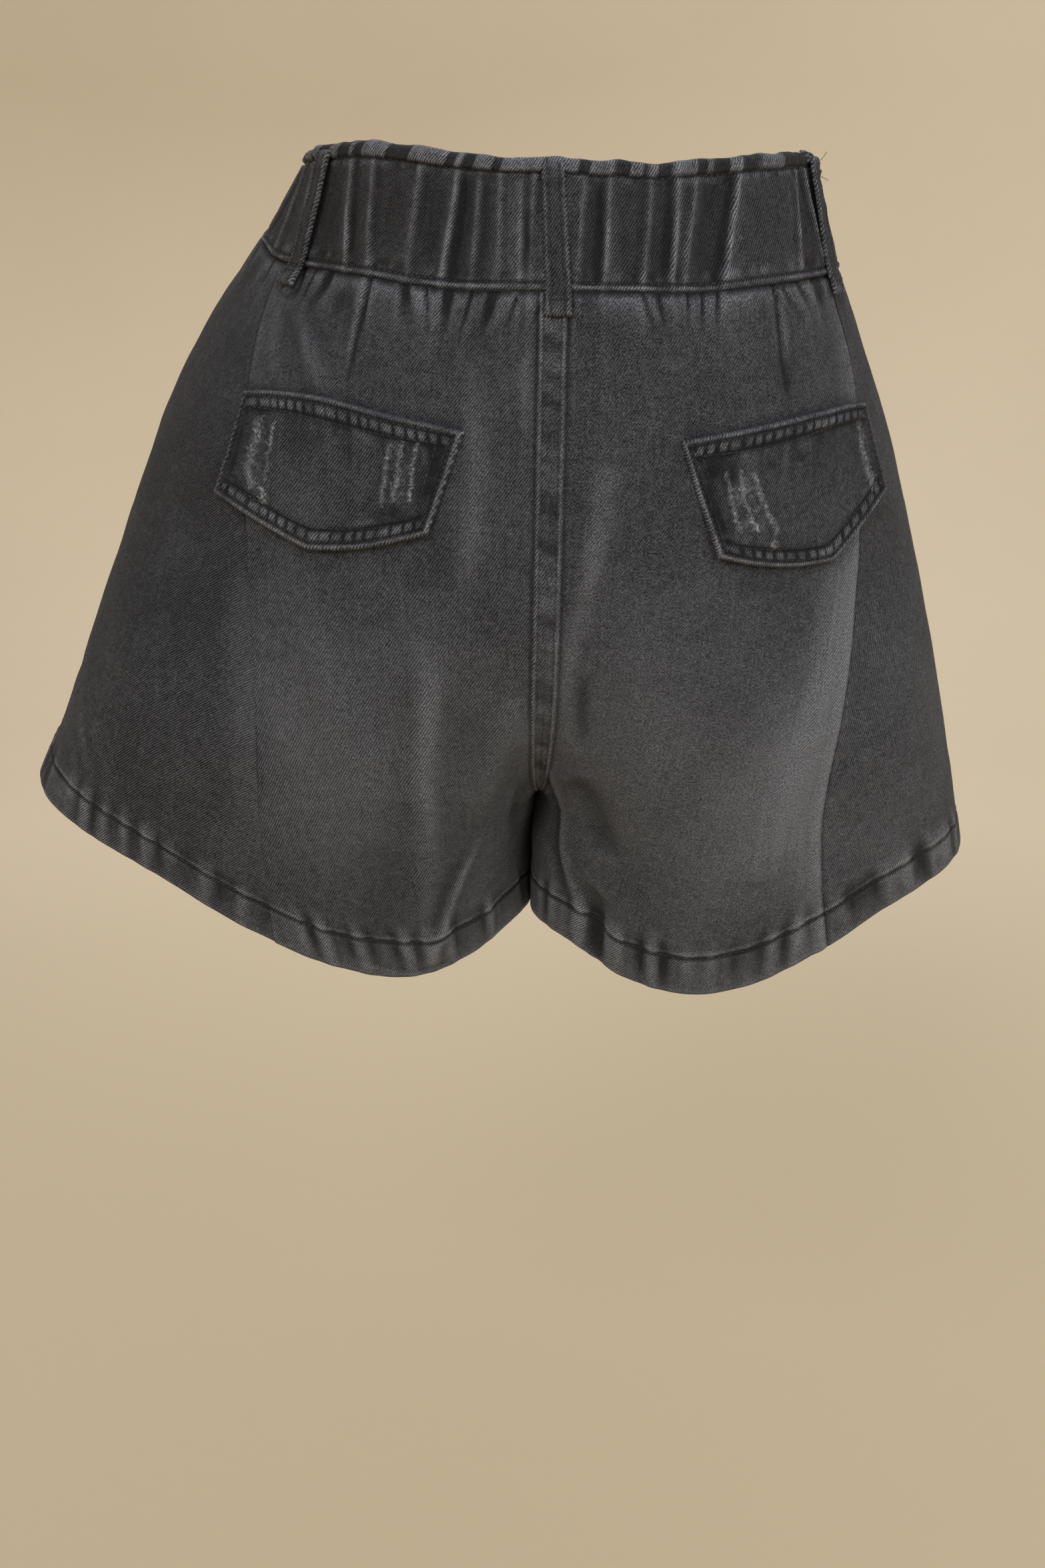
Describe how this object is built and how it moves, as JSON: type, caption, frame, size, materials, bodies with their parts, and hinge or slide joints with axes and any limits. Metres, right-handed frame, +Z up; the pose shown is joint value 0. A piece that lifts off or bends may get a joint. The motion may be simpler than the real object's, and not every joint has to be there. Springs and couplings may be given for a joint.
{
  "type": "denim shorts",
  "caption": "Loose flared denim shorts with a gathered elastic waistband, belt loops, back flaps and turned-up hems, held in the form of a standing wearer.",
  "frame": {"origin": "middle of the waist opening at the height of the band's top edge, where the wearer's waist holds the garment", "axes": "+Z up, the wearer faces -Y, the wearer's left side is at +X"},
  "size_m": [0.5579, 0.2466, 0.4539],
  "materials": {
    "denim": "washed black twill",
    "worn_denim": "washed black twill, worn at its edges",
    "thread": "matt sewing thread"
  },
  "bodies": {
    "root": {"back_panel_left": "denim", "back_panel_right": "denim", "front_panel_left": "denim", "front_panel_right": "denim", "waistband_back": "denim", "waistband_front": "denim", "pocket_flap_left": "worn_denim", "pocket_flap_right": "worn_denim", "belt_loop_back": "worn_denim", "belt_loop_left": "worn_denim", "belt_loop_right": "worn_denim", "belt_loop_front_left": "worn_denim", "belt_loop_front_right": "worn_denim"}
  },
  "joints": []
}
